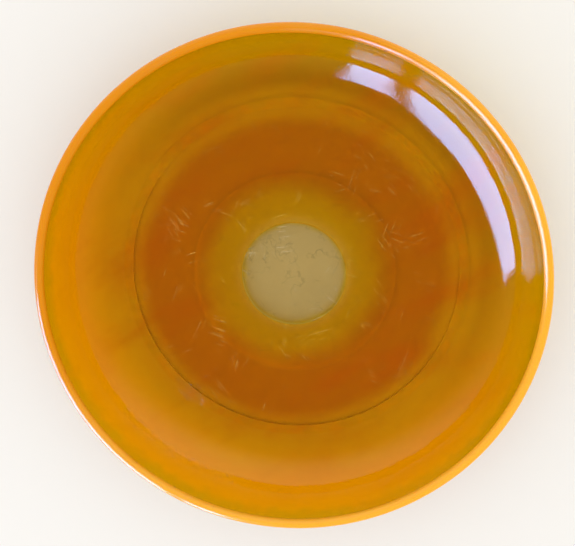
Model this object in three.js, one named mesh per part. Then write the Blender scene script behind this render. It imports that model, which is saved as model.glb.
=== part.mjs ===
// A shallow blown-glass centrepiece bowl: an amber wall with an upturned edge, a colourless
// window in the middle of its floor, an opaque bead round the lip and a low foot ring.
// Millimetres, +Z up. The origin is on the surface it stands on, at the middle of the foot.

import * as THREE from 'three';

// Overall sizes
const BOWL_DIAMETER = 360;
const BOWL_HEIGHT = 66;

// Glass thickness, at the floor and at the lip
const FLOOR_THICKNESS = 7;
const LIP_THICKNESS = 5.2;

// The wall's section is a superellipse quarter: 2 is an ellipse, and more is squarer
const WALL_SQUARENESS = 2.4;

// The rounded bead stands out past both faces of the wall by this much
const BEAD_OVERHANG = 0.8;

// The foot ring, ground flat underneath. The bowl's flat underside passes its outer edge by
// FOOT_SHELF, and the wall curves up from there.
const FOOT_RADIUS = 130;
const FOOT_WIDTH = 6.5;
const FOOT_HEIGHT = 3;
const FOOT_EDGE = 1;
const FOOT_SHELF = 1;

// The colourless window: clear right through inside WINDOW_RADIUS, and running on as a
// wedge under the amber out to WEDGE_RADIUS. Both glasses end WEDGE_EDGE thick.
const WINDOW_RADIUS = 39;
const WEDGE_RADIUS = 76;
const WEDGE_EDGE = 0.8;

// Clearance between glasses that are fused on the real bowl
const FUSED_GAP = 0.3;

// Fineness of the solids
const SEGMENTS_ROUND = 60;
const WALL_STEPS = 16;
const BEAD_STEPS = 12;

// Heights and radii that follow from the sizes above
const undersideZ = FOOT_HEIGHT + FUSED_GAP;
const floorZ = undersideZ + FLOOR_THICKNESS;
const flatRadius = FOOT_RADIUS + FOOT_SHELF;
const beadRadius = LIP_THICKNESS / 2 + BEAD_OVERHANG;
const beadCentreR = BOWL_DIAMETER / 2 - beadRadius;
const beadCentreZ = BOWL_HEIGHT - beadRadius;
const beadSeatAngle = Math.acos(LIP_THICKNESS / 2 / beadRadius);
const wallTopZ = beadCentreZ - beadRadius * Math.sin(beadSeatAngle) - FUSED_GAP;
const wallTopR = beadCentreR + LIP_THICKNESS / 2;

function glass(name, color, options) {
  return new THREE.MeshStandardMaterial({ name, color, metalness: 0, ...options });
}

// A solid of revolution about +Z from profile points given as [radius, height], listed
// anticlockwise when radius runs right and height runs up
function turned(name, profile, material) {
  const points = profile.map(([radius, height]) => new THREE.Vector2(radius, height));
  const mesh = new THREE.Mesh(new THREE.LatheGeometry(points, SEGMENTS_ROUND), material);
  mesh.name = name;
  mesh.rotation.x = Math.PI / 2;
  return mesh;
}

// The wall leaves the flat underside level and reaches the lip upright. Each step gives a
// point on its outside and the partner inside, one thickness away along the normal.
function wallStep(step) {
  const turn = (step / WALL_STEPS) * (Math.PI / 2);
  const reach = wallTopR - flatRadius;
  const rise = wallTopZ - undersideZ;
  const across = Math.sin(turn) ** (2 / WALL_SQUARENESS);
  const below = Math.max(Math.cos(turn), 0) ** (2 / WALL_SQUARENESS);
  const normal = new THREE.Vector2(
    across ** (WALL_SQUARENESS - 1) / reach,
    -(below ** (WALL_SQUARENESS - 1)) / rise,
  ).normalize();
  const thickness = THREE.MathUtils.lerp(FLOOR_THICKNESS, LIP_THICKNESS, across ** 2);
  const outside = [flatRadius + reach * across, wallTopZ - rise * below];
  const inside = [outside[0] - normal.x * thickness, outside[1] - normal.y * thickness];
  return { outside, inside };
}

function amberBody() {
  const steps = Array.from({ length: WALL_STEPS + 1 }, (_, step) => wallStep(step));
  const profile = [
    [WEDGE_RADIUS, undersideZ],
    ...steps.map((step) => step.outside),
    ...steps.reverse().map((step) => step.inside),
    [WINDOW_RADIUS, floorZ],
    [WINDOW_RADIUS, floorZ - WEDGE_EDGE],
    [WEDGE_RADIUS, undersideZ + WEDGE_EDGE],
    [WEDGE_RADIUS, undersideZ],
  ];
  return turned('amber_body', profile, glass('amber_glass', '#c87a08', {
    roughness: 0.08,
    transparent: true,
    opacity: 0.75,
  }));
}

// The clear glass keeps its clearance all along the amber wedge that it lies under
function centreDisc() {
  const slope = (floorZ - undersideZ - 2 * WEDGE_EDGE) / (WEDGE_RADIUS - WINDOW_RADIUS);
  const drop = FUSED_GAP * Math.hypot(1, slope);
  const windowR = WINDOW_RADIUS - FUSED_GAP;
  const outerR = WEDGE_RADIUS - FUSED_GAP;
  const topAt = (radius) => undersideZ + WEDGE_EDGE + (WEDGE_RADIUS - radius) * slope - drop;
  const profile = [
    [0, undersideZ],
    [outerR, undersideZ],
    [outerR, topAt(outerR)],
    [windowR, topAt(windowR)],
    [windowR, floorZ],
    [0, floorZ],
  ];
  return turned('centre_disc', profile, glass('clear_glass', '#a5945f', {
    roughness: 0.12,
    transparent: true,
    opacity: 0.5,
  }));
}

// A round bead with a flat seat as wide as the wall's top edge
function lipWrap() {
  const sweep = Math.PI + 2 * beadSeatAngle;
  const profile = Array.from({ length: BEAD_STEPS + 1 }, (_, step) => {
    const angle = -beadSeatAngle + (step / BEAD_STEPS) * sweep;
    return [beadCentreR + beadRadius * Math.cos(angle), beadCentreZ + beadRadius * Math.sin(angle)];
  });
  profile.push(profile[0]);
  return turned('lip_wrap', profile, glass('lip_glass', '#f5a52a', { roughness: 0.1 }));
}

// A flat ring with eased edges, ground level underneath
function footRing() {
  const innerR = FOOT_RADIUS - FOOT_WIDTH;
  const profile = [
    [innerR + FOOT_EDGE, 0],
    [FOOT_RADIUS - FOOT_EDGE, 0],
    [FOOT_RADIUS, FOOT_EDGE],
    [FOOT_RADIUS, FOOT_HEIGHT],
    [innerR, FOOT_HEIGHT],
    [innerR, FOOT_EDGE],
    [innerR + FOOT_EDGE, 0],
  ];
  return turned('foot_ring', profile, glass('foot_glass', '#d39a3c', { roughness: 0.35 }));
}

const bowl = new THREE.Group();
bowl.add(amberBody(), centreDisc(), lipWrap(), footRing());

export default bowl;
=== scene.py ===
"""A shallow blown-glass centrepiece bowl: amber wall, colourless window, opaque lip bead and foot ring."""

import math

import bmesh
import bpy
from bpy.props import FloatProperty, FloatVectorProperty, IntProperty, PointerProperty
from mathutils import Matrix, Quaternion, Vector, noise


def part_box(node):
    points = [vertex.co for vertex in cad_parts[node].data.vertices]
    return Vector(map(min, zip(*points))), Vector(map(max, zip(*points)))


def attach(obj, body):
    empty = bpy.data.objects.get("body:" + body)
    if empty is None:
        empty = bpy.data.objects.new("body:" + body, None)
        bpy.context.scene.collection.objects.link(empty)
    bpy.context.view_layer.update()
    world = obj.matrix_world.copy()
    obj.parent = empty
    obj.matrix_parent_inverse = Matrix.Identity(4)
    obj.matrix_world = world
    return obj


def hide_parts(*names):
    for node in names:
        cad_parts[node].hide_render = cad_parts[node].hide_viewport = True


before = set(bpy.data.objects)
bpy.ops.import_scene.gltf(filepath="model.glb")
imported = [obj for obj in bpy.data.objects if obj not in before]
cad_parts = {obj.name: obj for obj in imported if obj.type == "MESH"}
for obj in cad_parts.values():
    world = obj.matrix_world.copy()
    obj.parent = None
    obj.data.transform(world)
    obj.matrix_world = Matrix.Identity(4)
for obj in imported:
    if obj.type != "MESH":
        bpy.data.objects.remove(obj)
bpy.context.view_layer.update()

bl_info = {
    "name": "Blown Glass Bowl",
    "version": (1, 0, 0),
    "blender": (4, 5, 0),
    "location": "View3D > Sidebar > Glass Bowl",
    "description": "Builds an amber blown-glass bowl and a small studio round it",
    "category": "Add Mesh",
}

MM = 0.001
FILM = 0.02 * MM
SHARP_TURN = math.radians(35.0)

# The frame's boxes give every default size
BODY_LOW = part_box("amber_body")[0]
LIP_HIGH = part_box("lip_wrap")[1]
FOOT_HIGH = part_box("foot_ring")[1]
DISC_LOW, DISC_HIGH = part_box("centre_disc")


# ---------------------------------------------------------------- sizes and colours


def length(name, description, default):
    return FloatProperty(name=name, description=description, default=default, min=0.0, unit="LENGTH")


def colour(name, description, default):
    return FloatVectorProperty(
        name=name, description=description, default=default, size=3, min=0.0, max=1.0, subtype="COLOR"
    )


def amount(name, description, default, high=1.0):
    return FloatProperty(name=name, description=description, default=default, min=0.0, max=high)


def place_on(name, description, default):
    return FloatVectorProperty(name=name, description=description, default=default, size=2, unit="LENGTH")


class BowlShape(bpy.types.PropertyGroup):
    """Sizes of the glass, in metres."""

    bowl_radius: length("Bowl radius", "Outside of the lip bead", LIP_HIGH[0])
    bowl_height: length("Bowl height", "Table to the top of the bead", LIP_HIGH[2])
    underside: length("Underside height", "Table to the flat underside", BODY_LOW[2])
    floor_thickness: length("Floor thickness", "Glass in the flat floor", DISC_HIGH[2] - DISC_LOW[2])
    lip_thickness: length("Lip thickness", "Glass in the wall just under the bead", 5.2 * MM)
    bead_overhang: length("Bead overhang", "How far the bead stands out past the wall", 0.8 * MM)
    foot_radius: length("Foot radius", "Outside of the foot ring", FOOT_HIGH[0])
    foot_width: length("Foot width", "Across the ground face of the ring", 6.5 * MM)
    foot_shelf: length("Foot shelf", "Flat underside left outside the ring", 1.0 * MM)
    foot_ease: length("Foot edge", "Rounding of the ring's edges", 0.35 * MM)
    window_radius: length("Window radius", "Clear glass seen in the floor", 39.0 * MM)
    wedge_radius: length("Wedge radius", "Where the amber reaches full thickness", DISC_HIGH[0] + 0.3 * MM)
    squareness: FloatProperty(
        name="Wall squareness", description="2 is an ellipse, more is squarer", default=2.4, min=1.5, max=6.0
    )
    waver: length("Hand-made waver", "How far the surface wanders from true", 0.22 * MM)
    rounds: IntProperty(name="Steps round", description="Mesh steps round the axis", default=256, min=24)


class BowlColours(bpy.types.PropertyGroup):
    """Colours and finish of the glasses."""

    straw: colour("Straw", "Thinnest amber, at the window's edge", (0.93, 0.62, 0.07))
    honey: colour("Honey", "Amber low on its wedge", (0.96, 0.60, 0.12))
    amber: colour("Amber", "Amber high on its wedge", (1.0, 0.72, 0.03))
    # partly real deep amber and partly painted shade: inside the foot ring the amber is made deeper for the
    # shade under the base
    umber_and_underfoot_shade: colour("Umber", "Deep amber inside the foot", (0.93, 0.575, 0.02))
    gold: colour("Gold", "Amber over and outside the foot", (0.95, 0.73, 0.08))
    flame: colour("Flame", "Amber of the bright side of the wall", (0.90, 0.45, 0.03))
    # painted shade: the amber that the wall and floor darken to on their upper-right side, where less light
    # falls
    painted_shade_amber: colour("Dusk", "Amber of the dim side of the wall", (0.67, 0.47, 0.05))
    # painted shade and reflection: the dark olive given to the steep glass under the bead for how it looks
    # edge-on
    edge_on_shade: colour("Olive", "Edge-on glass under the bead", (0.55, 0.42, 0.06))
    ember: colour("Ember", "Deeper streaks in the amber", (0.84, 0.38, 0.02))
    depth_colour: colour("Depth colour", "What the amber lets through in depth", (0.999, 0.985, 0.0))
    depth: FloatProperty(name="Depth", description="Absorption per metre", default=2000.0, min=0.0)
    window: colour("Window", "Tint of the clear gather in the window", (0.83, 0.67, 0.35))
    halo: colour("Halo", "Tint at the window's very edge", (0.84, 0.63, 0.06))
    gather: colour("Gather", "Tint of the clear gather under the amber", (1.0, 0.98, 0.86))
    lip: colour("Lip", "Opaque glass of the bead", (0.69, 0.25, 0.004))
    # painted light: the bead's paler colour on its lower-right side, where light falls
    lip_painted_light: colour("Pale lip", "Thinner colour on the bead", (0.86, 0.41, 0.03))
    foot: colour("Foot", "Glass of the foot ring", (0.70, 0.71, 0.50))
    wear: amount("Wear", "Strength of scratches and rubbing", 0.6)


class BowlStudio(bpy.types.PropertyGroup):
    """The floor, light and camera."""

    floor_tone: colour("Floor", "Colour of the floor", (0.76, 0.75, 0.73))
    sky: amount("Sky", "Even light from all round", 1.3, 10.0)
    sky_gloss: amount("Sky in reflections", "Share of the sky that glossy surfaces mirror", 0.2)
    window_light: amount("Window light", "Radiance of the tall soft light", 19.0, 100.0)
    camera_height: length("Camera height", "Lip to camera, straight up", 0.583)
    bowl_share: amount("Bowl in view", "Share of the picture's width that the bowl fills", 0.915)
    aim: place_on("Aim", "Where the camera looks, at the height of the lip", (0.0001, 0.0143))
    stance: place_on("Stance", "How far the camera stands off the point above its aim", (0.050, 0.138))


# ---------------------------------------------------------------- shader expressions


class Value:
    """A shader socket with Python's arithmetic: each operator adds one Math node."""

    def __init__(self, finish, socket):
        self.finish = finish
        self.socket = socket

    def math(self, operation, first, second):
        return self.finish.node("ShaderNodeMath", {"operation": operation}, {0: first, 1: second})

    def __add__(self, other):
        return self.math("ADD", self, other)

    def __radd__(self, other):
        return self.math("ADD", other, self)

    def __sub__(self, other):
        return self.math("SUBTRACT", self, other)

    def __rsub__(self, other):
        return self.math("SUBTRACT", other, self)

    def __mul__(self, other):
        return self.math("MULTIPLY", self, other)

    def __rmul__(self, other):
        return self.math("MULTIPLY", other, self)

    def __truediv__(self, other):
        return self.math("DIVIDE", self, other)

    def __abs__(self):
        return self.math("ABSOLUTE", self, 0.0)


class Finish:
    """One node material or world, written as calls and expressions."""

    def __init__(self, owner):
        owner.use_nodes = True
        self.tree = owner.node_tree
        self.tree.nodes.clear()
        self.point = None

    def node(self, kind, settings=None, inputs=None, output=0):
        """Adds a node, with its settings first and then its sockets, and returns one output."""
        made = self.tree.nodes.new(kind)
        for key, value in (settings or {}).items():
            if key == "stops":
                self.set_stops(made.color_ramp, value)
            else:
                setattr(made, key, value)
        for key, value in (inputs or {}).items():
            if isinstance(value, Value):
                self.tree.links.new(value.socket, made.inputs[key])
            else:
                made.inputs[key].default_value = value
        return Value(self, made.outputs[output]) if len(made.outputs) else made

    @staticmethod
    def set_stops(ramp, stops):
        while len(ramp.elements) < len(stops):
            ramp.elements.new(1.0)
        for element, (place, shade) in zip(ramp.elements, stops):
            element.position = place
            element.color = (*shade, 1.0)

    def object_point(self):
        """The point on the piece, in metres, made once for each material."""
        if self.point is None:
            self.point = self.node("ShaderNodeTexCoord", output="Object")
        return self.point

    def part_of(self, vector, axis):
        return self.node("ShaderNodeSeparateXYZ", {}, {0: vector}, axis)

    def axis_distance(self):
        """Distance of the point from the bowl's axis."""
        flat = self.node(
            "ShaderNodeVectorMath", {"operation": "MULTIPLY"}, {0: self.object_point(), 1: (1, 1, 0)}
        )
        return self.node("ShaderNodeVectorMath", {"operation": "LENGTH"}, {0: flat}, "Value")

    def grain(self, size, detail=2.0, rough=0.5, turn=0.0, shift=(0, 0, 0)):
        """Cloudy noise from 0 to 1. size is a feature's length along each axis, after the turn."""
        sizes = size if isinstance(size, tuple) else (size, size, size)
        placed = self.node(
            "ShaderNodeMapping",
            {"vector_type": "TEXTURE"},
            {"Vector": self.object_point(), "Rotation": (0, 0, turn), "Scale": sizes, "Location": shift},
        )
        return self.node(
            "ShaderNodeTexNoise",
            {},
            {"Vector": placed, "Scale": 1.0, "Detail": detail, "Roughness": rough},
            "Fac",
        )

    def step(self, value, low, high):
        """0 below low, 1 above high, and smooth between. low may be the larger."""
        return self.node(
            "ShaderNodeMapRange",
            {"interpolation_type": "SMOOTHSTEP"},
            {"Value": value, "From Min": low, "From Max": high},
        )

    def blend(self, share, first, second, mode="MIX"):
        """A colour between two, or one laid on the other."""
        return self.node(
            "ShaderNodeMix",
            {"data_type": "RGBA", "blend_type": mode},
            {0: share, 6: opaque(first), 7: opaque(second)},
            2,
        )

    def levelled(self, share):
        """The surface's own normal, brought upright by this share, so that a fused seam bends no light."""
        own = self.node("ShaderNodeNewGeometry", output="Normal")
        level = 1.0 - 0.999 * share
        squeeze = self.node("ShaderNodeCombineXYZ", {}, {0: level, 1: level, 2: 1.0})
        squeezed = self.node("ShaderNodeVectorMath", {"operation": "MULTIPLY"}, {0: own, 1: squeeze})
        return self.node("ShaderNodeVectorMath", {"operation": "NORMALIZE"}, {0: squeezed})

    def bump(self, height, distance, strength=1.0, normal=None):
        inputs = {"Height": height, "Distance": distance, "Strength": strength}
        if normal is not None:
            inputs["Normal"] = normal
        return self.node("ShaderNodeBump", {}, inputs)

    def surface(self, shader, volume=None):
        inputs = {"Surface": shader}
        if volume is not None:
            inputs["Volume"] = volume
        self.node("ShaderNodeOutputMaterial", {}, inputs)


def opaque(shade):
    return shade if isinstance(shade, Value) else (*shade, 1.0)


# ---------------------------------------------------------------- glass finishes


def scratches(finish, turns, seed):
    """Fine straight scratches in a few directions, here and there: the crests of long thin noise."""
    total = 0.0
    for number, turn in enumerate(turns):
        shift = (seed * 31.0 * MM, number * 17.0 * MM, 0.0)
        crest = finish.step(finish.grain((24 * MM, 0.3 * MM, 90 * MM), 0.0, 0.5, turn, shift), 0.75, 0.8)
        where = finish.step(finish.grain(20 * MM, 0.0, 0.5, turn, shift), 0.66, 0.74)
        total = crest * where + total
    return total


def orange_peel(finish):
    """The slight granular skin of fire-polished glass, as a height from 0 to 1."""
    return finish.grain(1.5 * MM, 1.0, 0.5) * 0.5 + finish.grain(9.0 * MM, 1.0, 0.5) * 0.5


def ripples(finish):
    """Faint broken rings, as the turning of the hot glass leaves them, as a height from 0 to 1."""
    point = finish.object_point()
    climb = (finish.axis_distance() + finish.part_of(point, "Z")) / (1.6 * MM)
    slow = finish.node("ShaderNodeCombineXYZ", {}, {
        0: finish.part_of(point, "X") / (26 * MM),
        1: finish.part_of(point, "Y") / (26 * MM),
        2: climb,
    })
    return finish.node("ShaderNodeTexNoise", {}, {"Vector": slow, "Scale": 1.0, "Detail": 1.0}, "Fac")


def amber_glass(shape, colours):
    """Amber that is straw-coloured where its wedge is thin and deepest inside the foot, with painted shade
    inside the foot, on the upper-right side and under the bead.
    """
    material = bpy.data.materials.new("amber_glass")
    finish = Finish(material)
    distance = finish.axis_distance() / shape.bowl_radius
    window = shape.window_radius / shape.bowl_radius
    wedge = shape.wedge_radius / shape.bowl_radius
    foot = (shape.foot_radius - shape.foot_width) / shape.bowl_radius
    lobes = (finish.grain(80 * MM, 2.0, 0.5) - 0.5) * finish.step(distance, window, wedge)
    wander = lobes * (0.06 + finish.step(distance, foot - 0.08, wedge) * 0.16)
    # the umber stops inside the foot are partly painted shade of the floor under the base, against the gold
    # of the lit floor outside it
    tint = finish.node(
        "ShaderNodeValToRGB",
        {
            "stops": [
                (window, colours.straw),
                (window + 0.02, colours.honey),
                (window + 0.12, colours.amber),
                (wedge, colours.umber_and_underfoot_shade),
                (foot - 0.08, colours.umber_and_underfoot_shade),
                (foot - 0.02, colours.gold),
                (foot + 0.09, colours.gold),
                (0.91, colours.flame),
            ]
        },
        {"Fac": distance + wander},
    )
    point = finish.object_point()
    # painted shade: dim grows towards the upper right, strongly on the wall and a little on the floor, and
    # blends the tint to the dusk amber there
    across = (finish.part_of(point, "X") * 0.8 + finish.part_of(point, "Y") * 1.25) / shape.bowl_radius
    wall = finish.step(distance, 0.73, 0.80)
    dim = finish.step(across, -0.7, 1.3) * (0.2 + wall * 0.8)
    height = finish.part_of(point, "Z")
    # painted shade: high on the wall, under the bead, the tint turns olive, a little more on the dim side
    notched = height + (finish.grain(9 * MM, 1.0, 0.5) - 0.5) * (16 * MM)
    lip_band_shade = finish.step(notched, 0.62 * shape.bowl_height, 0.80 * shape.bowl_height) * (0.6 + dim * 0.2)
    lit = finish.blend(lip_band_shade, finish.blend(dim, tint, colours.painted_shade_amber), colours.edge_on_shade)
    # painted shade: the floor between the wedge's end and the foot ring is darkened by 0.88, for the shade
    # under the base
    underfoot_shade_share = finish.step(distance, wedge - 0.001, wedge + 0.001) * finish.step(distance, foot, foot - 0.08)
    underfoot_shaded = finish.blend(underfoot_shade_share, lit, finish.blend(1.0, lit, (0.88, 0.88, 0.88), "MULTIPLY"))
    swirl = finish.step(finish.grain((90 * MM, 26 * MM, 40 * MM), 3.0, 0.6, 0.5), 0.46, 0.72)
    mottle = finish.step(finish.grain(5 * MM, 3.0, 0.65), 0.4, 0.75)
    deep = finish.step(distance, window + 0.04, wedge) * (swirl * 0.45 + mottle * 0.1)
    floor = shape.underside + shape.floor_thickness
    rubbed = finish.step(distance, 0.75, 0.5) * finish.step(height, floor - 1 * MM, floor - 0.1 * MM)
    marks = rubbed * scratches(finish, (0.3, 1.2, 2.2, 2.8), 3.0)
    smudge = finish.step(finish.grain(110 * MM, 3.0, 0.6), 0.45, 0.75)
    skin = orange_peel(finish) + ripples(finish) * wall * 0.6
    seam_level = finish.levelled(finish.step(distance, wedge + 0.02, wedge))
    glass = finish.node(
        "ShaderNodeBsdfPrincipled",
        {},
        {
            "Base Color": finish.blend(deep, underfoot_shaded, colours.ember),
            "Roughness": 0.012 + smudge * 0.03 + marks * 0.2,
            "Transmission Weight": 1.0,
            "IOR": 1.5,
            "Normal": finish.bump(skin, 0.06 * MM, 1.0, seam_level),
        },
    )
    scuffed = finish.node(
        "ShaderNodeBsdfPrincipled",
        {},
        {"Base Color": (1.0, 0.76, 0.12, 1.0), "Roughness": 0.5, "Specular IOR Level": 0.2},
    )
    shader = finish.node("ShaderNodeMixShader", {}, {0: marks * colours.wear, 1: glass, 2: scuffed})
    volume = finish.node(
        "ShaderNodeVolumeAbsorption",
        {},
        {"Color": (*colours.depth_colour, 1.0), "Density": colours.depth},
    )
    finish.surface(shader, volume)
    return material


def clear_glass(shape, colours):
    """The colourless gather, faintly straw-tinted and rubbed dull by use."""
    material = bpy.data.materials.new("clear_glass")
    finish = Finish(material)
    cloud = finish.grain(33 * MM, 3.0, 0.6)
    squiggle = finish.step(abs(finish.grain(26 * MM, 3.0, 0.6) - 0.5), 0.012, 0.003)
    squiggles = squiggle * finish.step(finish.grain(18 * MM, 1.0, 0.5, 0.0, (0.3, 0.1, 0.0)), 0.45, 0.55)
    clouded = finish.blend(finish.step(cloud, 0.35, 0.7) * 0.3, colours.window, (0.76, 0.62, 0.33))
    window = finish.blend(squiggles * 0.6, clouded, (0.5, 0.42, 0.22))
    past = finish.axis_distance() - shape.window_radius
    drift = (finish.grain(14 * MM, 1.0, 0.5) - 0.5) * (4 * MM)
    haloed = finish.blend(finish.step(past + drift, -4 * MM, 1 * MM), window, colours.halo)
    tint = finish.blend(finish.step(past, -0.1 * MM, 0.3 * MM), haloed, colours.gather)
    marks = scratches(finish, (0.1, 1.0, 1.9, 2.5), 8.0)
    seam_level = finish.levelled(finish.step(past, -1.0, 0.0))
    glass = finish.node(
        "ShaderNodeBsdfPrincipled",
        {},
        {
            "Base Color": tint,
            "Roughness": 0.03 + finish.step(cloud, 0.4, 0.8) * 0.04 + marks * 0.3,
            "Transmission Weight": 1.0,
            "IOR": 1.5,
            "Normal": finish.bump(orange_peel(finish), 0.03 * MM, 0.6, seam_level),
        },
    )
    scuffed = finish.node(
        "ShaderNodeBsdfPrincipled",
        {},
        {"Base Color": (0.92, 0.86, 0.62, 1.0), "Roughness": 0.5},
    )
    finish.surface(finish.node("ShaderNodeMixShader", {}, {0: marks * colours.wear, 1: glass, 2: scuffed}))
    return material


def lip_glass(shape, colours):
    """Opaque orange-yellow glass under a clear glossy skin, with painted light making it paler on its
    lower-right side.
    """
    material = bpy.data.materials.new("lip_glass")
    finish = Finish(material)
    run = finish.grain((55 * MM, 55 * MM, 18 * MM), 3.0, 0.55)
    fine = finish.grain(4 * MM, 2.0, 0.5)
    point = finish.object_point()
    # painted light: the bead turns from deep orange on the upper left to pale on the lower right, broken by
    # an uneven run of tone
    across = (finish.part_of(point, "X") - finish.part_of(point, "Y")) / shape.bowl_radius
    share = finish.step(across + (run - 0.5) * 1.4, -1.0, 0.7)
    shade = finish.blend(share, colours.lip, colours.lip_painted_light)
    flecked = finish.blend(finish.step(fine, 0.6, 0.85) * 0.25, shade, colours.lip)
    finish.surface(
        finish.node(
            "ShaderNodeBsdfPrincipled",
            {},
            {
                "Base Color": flecked,
                "Roughness": 0.1 + finish.step(run, 0.3, 0.8) * 0.08,
                "IOR": 1.5,
                "Subsurface Weight": 0.25,
                "Subsurface Radius": (1.0, 0.35, 0.08),
                "Subsurface Scale": 0.002,
                "Normal": finish.bump(orange_peel(finish), 0.02 * MM, 0.6),
            },
        )
    )
    return material


def foot_glass(shape, colours):
    """Pale gold glass, frosted all over and ground underneath."""
    material = bpy.data.materials.new("foot_glass")
    finish = Finish(material)
    height = finish.part_of(finish.object_point(), "Z")
    cloud = finish.grain(12 * MM, 3.0, 0.6)
    grit = finish.grain(1.2 * MM, 2.0, 0.6)
    ground = finish.step(height, 0.6 * MM, 0.1 * MM)
    body = finish.blend(finish.step(cloud, 0.35, 0.7) * 0.35, colours.foot, colours.gold)
    finish.surface(
        finish.node(
            "ShaderNodeBsdfPrincipled",
            {},
            {
                "Base Color": finish.blend(ground * 0.6, body, (0.95, 0.88, 0.66)),
                "Roughness": 0.32 + ground * 0.3 + grit * 0.1,
                "IOR": 1.5,
                "Subsurface Weight": 0.6,
                "Subsurface Radius": (1.0, 0.7, 0.3),
                "Subsurface Scale": 0.004,
                "Normal": finish.bump(grit, 0.01 * MM, 0.4),
            },
        )
    )
    return material


# ---------------------------------------------------------------- glass shapes


def smooth_share(share):
    share = min(max(share, 0.0), 1.0)
    return share * share * (3.0 - 2.0 * share)


def along(first, last, count):
    """count + 1 evenly spaced numbers from first to last."""
    return [first + (last - first) * step / count for step in range(count + 1)]


def bead_radius(shape):
    return 0.5 * shape.lip_thickness + shape.bead_overhang


def wall_section(shape, steps):
    """The wall's outside and inside, from the flat underside to the lip, as (radius, height)."""
    flat = shape.foot_radius + shape.foot_shelf
    top = shape.bowl_height - bead_radius(shape)
    reach = shape.bowl_radius - shape.bead_overhang - flat
    rise = top - shape.underside
    outside, inside = [], []
    for turn in along(0.0, math.pi / 2, steps):
        across = math.sin(turn) ** (2 / shape.squareness)
        below = max(math.cos(turn), 0.0) ** (2 / shape.squareness)
        normal = Vector(
            (across ** (shape.squareness - 1) / reach, -(below ** (shape.squareness - 1)) / rise)
        ).normalized()
        thickness = shape.floor_thickness + (shape.lip_thickness - shape.floor_thickness) * across**2
        point = Vector((flat + reach * across, top - rise * below))
        outside.append(tuple(point))
        inside.append(tuple(point - normal * thickness))
    return outside, inside


def wedge_thickness(shape, radius):
    """Amber over the clear gather: a film at the window, and all but a film at the wedge's end."""
    share = (radius - shape.window_radius) / (shape.wedge_radius - shape.window_radius)
    return FILM + (shape.floor_thickness - 3 * FILM) * smooth_share(share)


def body_profile(shape):
    floor = shape.underside + shape.floor_thickness
    flat = shape.foot_radius + shape.foot_shelf
    outside, inside = wall_section(shape, 56)
    under = [(radius, shape.underside) for radius in along(shape.wedge_radius, flat, 12)]
    over = [(radius, floor) for radius in along(flat, shape.window_radius, 26)]
    wedge = [
        (radius, floor - wedge_thickness(shape, radius))
        for radius in along(shape.window_radius, shape.wedge_radius, 24)
    ]
    return under[:-1] + outside + inside[::-1] + over[1:] + wedge


def disc_profile(shape):
    """Clear glass right through at the window, and a film under the amber at the wedge's end."""
    floor = shape.underside + shape.floor_thickness
    under = [(radius, shape.underside) for radius in along(0.0, shape.wedge_radius, 24)]
    wedge = [
        (radius, floor - FILM - wedge_thickness(shape, radius))
        for radius in along(shape.wedge_radius, shape.window_radius, 30)
    ]
    over = [(radius, floor - 2 * FILM) for radius in along(shape.window_radius, 0.0, 14)]
    return under + wedge + over[1:]


def bead_profile(shape):
    radius = bead_radius(shape)
    centre = Vector((shape.bowl_radius - radius, shape.bowl_height - radius))
    return [
        (centre.x + radius * math.cos(turn), centre.y + radius * math.sin(turn))
        for turn in along(-0.5 * math.pi, 1.5 * math.pi, 40)[:-1]
    ]


def foot_profile(shape):
    """A low ring with rounded edges below and a small fillet where it flows into the underside."""
    outer, inner = shape.foot_radius, shape.foot_radius - shape.foot_width
    ease = shape.foot_ease
    top = shape.underside - FILM
    flare = 0.8 * ease
    quarter = along(0.0, 0.5 * math.pi, 6)
    points = [(radius, 0.0) for radius in along(inner + ease, outer - ease, 4)][:-1]
    points += [(outer - ease + ease * math.sin(t), ease - ease * math.cos(t)) for t in quarter]
    points += [(outer + flare * (1 - math.cos(t)), top - flare + flare * math.sin(t)) for t in quarter]
    points += [(inner - flare * (1 - math.cos(t)), top - flare + flare * math.sin(t)) for t in quarter[::-1]]
    points += [(inner + ease - ease * math.sin(t), ease - ease * math.cos(t)) for t in quarter[::-1]][:-1]
    return points


def wandered(shape, point, strength):
    """A point moved a little, smoothly and only inwards and down, as hand work leaves it."""
    share = 0.5 + 0.5 * noise.noise(point * 22.0 + Vector((4.0, 1.0, 7.0)))
    sag = 0.5 + 0.5 * noise.noise(point * 14.0 + Vector((9.0, 3.0, 2.0)))
    flat = Vector((point.x, point.y, 0.0))
    if flat.length < MM:
        return point
    inwards = flat.normalized() * (-shape.waver * share * strength)
    return point + inwards + Vector((0, 0, -shape.waver * sag * strength))


def turned(name, profile, shape, waver_at=None):
    """A closed, smooth-shaded body of revolution about +Z from an anticlockwise (radius, height) outline."""
    mesh = bpy.data.meshes.new(name)
    shell = bmesh.new()
    rings = []
    for radius, height in profile:
        if radius < 1e-7:
            rings.append([shell.verts.new((0, 0, height))])
            continue
        ring = []
        for step in range(shape.rounds):
            turn = 2 * math.pi * step / shape.rounds
            point = Vector((radius * math.cos(turn), radius * math.sin(turn), height))
            if waver_at is not None:
                point = wandered(shape, point, waver_at(radius, height))
            ring.append(shell.verts.new(point))
        rings.append(ring)
    for ring, following in zip(rings, rings[1:] + rings[:1]):
        join_rings(shell, ring, following)
    shell.normal_update()
    for face in shell.faces:
        face.smooth = True
    for edge in shell.edges:
        edge.smooth = edge.calc_face_angle(0.0) < SHARP_TURN
    shell.to_mesh(mesh)
    shell.free()
    piece = bpy.data.objects.new(name, mesh)
    bpy.context.scene.collection.objects.link(piece)
    return piece


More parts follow.
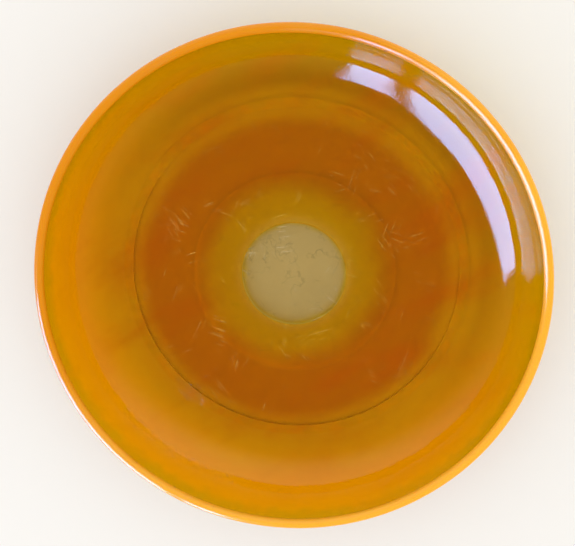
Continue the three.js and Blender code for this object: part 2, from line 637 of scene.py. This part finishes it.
def join_rings(shell, ring, following):
    """Faces between two rings, either of which may be a single point on the axis."""
    count = max(len(ring), len(following))
    if count == 1:
        return
    for step in range(count):
        after = (step + 1) % count
        corners = [ring[step % len(ring)]]
        if len(ring) > 1:
            corners.append(ring[after])
        corners.append(following[after % len(following)])
        if len(following) > 1:
            corners.append(following[step])
        shell.faces.new(corners)


def place(piece, node, slot, material):
    """Gives a finished piece its material, hangs it under the root body and hides the CAD node that it
    stands for.
    """
    piece.data.materials.append(material)
    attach(piece, "root")
    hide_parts(node)


# ---------------------------------------------------------------- operators


class BOWL_OT_amber_body(bpy.types.Operator):
    """Blows the amber wall and floor"""

    bl_idname = "bowl.amber_body"
    bl_label = "Amber Body"

    def execute(self, context):
        shape, colours = context.scene.bowl_shape, context.scene.bowl_colours
        floor = shape.underside + shape.floor_thickness

        def waver(radius, height):
            return smooth_share((height - floor) / (12 * MM))

        piece = turned("amber_wall", body_profile(shape), shape, waver)
        place(piece, "amber_body", "amber_glass", amber_glass(shape, colours))
        return {"FINISHED"}


class BOWL_OT_centre_disc(bpy.types.Operator):
    """Sets the clear gather into the middle of the floor"""

    bl_idname = "bowl.centre_disc"
    bl_label = "Clear Window"

    def execute(self, context):
        shape, colours = context.scene.bowl_shape, context.scene.bowl_colours
        piece = turned("clear_window", disc_profile(shape), shape)
        place(piece, "centre_disc", "clear_glass", clear_glass(shape, colours))
        return {"FINISHED"}


class BOWL_OT_lip_wrap(bpy.types.Operator):
    """Wraps the opaque bead round the lip"""

    bl_idname = "bowl.lip_wrap"
    bl_label = "Lip Bead"

    def execute(self, context):
        shape, colours = context.scene.bowl_shape, context.scene.bowl_colours
        piece = turned("lip_bead", bead_profile(shape), shape, lambda radius, height: 1.0)
        place(piece, "lip_wrap", "lip_glass", lip_glass(shape, colours))
        return {"FINISHED"}


class BOWL_OT_foot_ring(bpy.types.Operator):
    """Lays the foot ring under the floor"""

    bl_idname = "bowl.foot_ring"
    bl_label = "Foot Ring"

    def execute(self, context):
        shape, colours = context.scene.bowl_shape, context.scene.bowl_colours
        piece = turned("ground_foot", foot_profile(shape), shape)
        place(piece, "foot_ring", "foot_glass", foot_glass(shape, colours))
        return {"FINISHED"}


class BOWL_OT_studio(bpy.types.Operator):
    """Lays the floor and sets the lights and the camera"""

    bl_idname = "bowl.studio"
    bl_label = "Studio"

    def execute(self, context):
        scene = context.scene
        shape, studio = scene.bowl_shape, scene.bowl_studio
        lay_floor(studio)
        set_sky(scene, studio)
        hang_window(
            "tall_window", studio, near=bearing(241.5, 3.0), far=bearing(196.0, 7.8), low=0.15, high=6.2
        )
        hang_window(
            "side_window", studio, near=bearing(253.5, 2.0), far=bearing(245.5, 2.1), low=0.4, high=3.0
        )
        set_camera(scene, shape, studio)
        scene.view_settings.view_transform = "Standard"
        scene.cycles.max_bounces = 24
        scene.cycles.transmission_bounces = 24
        return {"FINISHED"}


# ---------------------------------------------------------------- studio


def lay_floor(studio):
    mesh = bpy.data.meshes.new("studio_floor")
    sheet = bmesh.new()
    bmesh.ops.create_circle(sheet, cap_ends=True, segments=96, radius=6.0)
    sheet.to_mesh(mesh)
    sheet.free()
    floor = bpy.data.objects.new("studio_floor", mesh)
    bpy.context.scene.collection.objects.link(floor)
    material = bpy.data.materials.new("floor_paint")
    finish = Finish(material)
    speck = finish.grain(16 * MM, 4.0, 0.6)
    tone = finish.blend(speck * 0.04, tuple(studio.floor_tone), (0.5, 0.5, 0.5))
    finish.surface(
        finish.node(
            "ShaderNodeBsdfPrincipled",
            {},
            {"Base Color": tone, "Roughness": 0.9, "Specular IOR Level": 0.1},
        )
    )
    mesh.materials.append(material)


def set_sky(scene, studio):
    """Even light from all round, mirrored only dimly, behind a pale backdrop."""
    world = bpy.data.worlds.new("soft_sky")
    scene.world = world
    finish = Finish(world)
    direction = finish.node("ShaderNodeTexCoord", output="Generated")
    height = finish.part_of(direction, "Z")
    back = finish.step(finish.part_of(direction, "Y"), 0.0, 0.8)
    low = finish.step(height, 0.95, 0.35)
    light = finish.node(
        "ShaderNodeBackground", {}, {"Color": (1.0, 0.985, 0.96, 1.0), "Strength": studio.sky}
    )
    mirror = finish.node(
        "ShaderNodeBackground",
        {},
        {"Color": (0.9, 0.95, 1.0, 1.0), "Strength": studio.sky_gloss * (0.3 + low * 0.3 + back * 2.2)},
    )
    backdrop = finish.node("ShaderNodeBackground", {}, {"Color": (0.8, 0.8, 0.79, 1.0), "Strength": 1.0})
    passed = finish.node("ShaderNodeLightPath", output="Is Transmission Ray")
    glossy = finish.node("ShaderNodeLightPath", output="Is Glossy Ray") * (1.0 - passed)
    seen = finish.node("ShaderNodeLightPath", output="Is Camera Ray")
    lit = finish.node("ShaderNodeMixShader", {}, {0: glossy, 1: light, 2: mirror})
    finish.node(
        "ShaderNodeOutputWorld",
        {},
        {"Surface": finish.node("ShaderNodeMixShader", {}, {0: seen, 1: lit, 2: backdrop})},
    )


def bearing(degrees, away):
    """The place this far from the bowl's axis, on the ground."""
    turn = math.radians(degrees)
    return Vector((away * math.cos(turn), away * math.sin(turn), 0.0))


def hang_window(name, studio, near, far, low, high):
    """An upright soft light from one place on the ground to another, seen only in gloss."""
    span = far - near
    outward = Vector((span.y, -span.x, 0.0))
    if outward.dot(near) < 0.0:
        outward.negate()
    light = bpy.data.lights.new(name, "AREA")
    light.shape = "RECTANGLE"
    light.size = span.length
    light.size_y = high - low
    light.color = (0.36, 0.54, 1.0)
    light.energy = studio.window_light * math.pi * light.size * light.size_y
    lamp = bpy.data.objects.new(name, light)
    bpy.context.scene.collection.objects.link(lamp)
    lamp.location = 0.5 * (near + far) + Vector((0.0, 0.0, 0.5 * (low + high)))
    lamp.rotation_mode = "QUATERNION"
    lamp.rotation_quaternion = outward.to_track_quat("Z", "Y")
    lamp.visible_diffuse = False
    lamp.visible_transmission = False
    lamp.visible_camera = False


def set_camera(scene, shape, studio):
    """Looks down on the bowl from a little off its axis."""
    camera = bpy.data.cameras.new("overhead")
    camera.sensor_fit = "HORIZONTAL"
    camera.sensor_width = 36.0
    stance = Vector((*studio.stance, studio.camera_height))
    width = 2 * shape.bowl_radius / studio.bowl_share
    camera.lens = camera.sensor_width * stance.length / width
    holder = bpy.data.objects.new("overhead", camera)
    scene.collection.objects.link(holder)
    holder.location = Vector((*studio.aim, shape.bowl_height)) + stance
    tilt = Quaternion((1.0, 0.0, 0.0), -math.atan2(stance.y, stance.z))
    roll = Quaternion((0.0, 1.0, 0.0), math.atan2(stance.x, math.hypot(stance.y, stance.z)))
    holder.rotation_mode = "QUATERNION"
    holder.rotation_quaternion = tilt @ roll
    scene.camera = holder


class BOWL_PT_panel(bpy.types.Panel):
    """Buttons and sizes for the bowl"""

    bl_idname = "BOWL_PT_panel"
    bl_label = "Glass Bowl"
    bl_space_type = "VIEW_3D"
    bl_region_type = "UI"
    bl_category = "Glass Bowl"

    def draw(self, context):
        layout = self.layout
        for group in (context.scene.bowl_shape, context.scene.bowl_colours, context.scene.bowl_studio):
            box = layout.box()
            for name in group.__annotations__:
                box.prop(group, name)
        for step in STEPS:
            layout.operator(step.bl_idname)


STEPS = (
    BOWL_OT_amber_body,
    BOWL_OT_centre_disc,
    BOWL_OT_lip_wrap,
    BOWL_OT_foot_ring,
    BOWL_OT_studio,
)
CLASSES = (BowlShape, BowlColours, BowlStudio, *STEPS, BOWL_PT_panel)


def register():
    for cls in CLASSES:
        bpy.utils.register_class(cls)
    bpy.types.Scene.bowl_shape = PointerProperty(type=BowlShape)
    bpy.types.Scene.bowl_colours = PointerProperty(type=BowlColours)
    bpy.types.Scene.bowl_studio = PointerProperty(type=BowlStudio)


def unregister():
    del bpy.types.Scene.bowl_studio
    del bpy.types.Scene.bowl_colours
    del bpy.types.Scene.bowl_shape
    for cls in reversed(CLASSES):
        bpy.utils.unregister_class(cls)


def write_sizes():
    """Brings the view layer up to date."""
    bpy.context.view_layer.update()


def main():
    register()
    bpy.ops.bowl.amber_body()
    bpy.ops.bowl.centre_disc()
    bpy.ops.bowl.lip_wrap()
    bpy.ops.bowl.foot_ring()
    bpy.ops.bowl.studio()
    write_sizes()


if __name__ == "__main__":
    main()
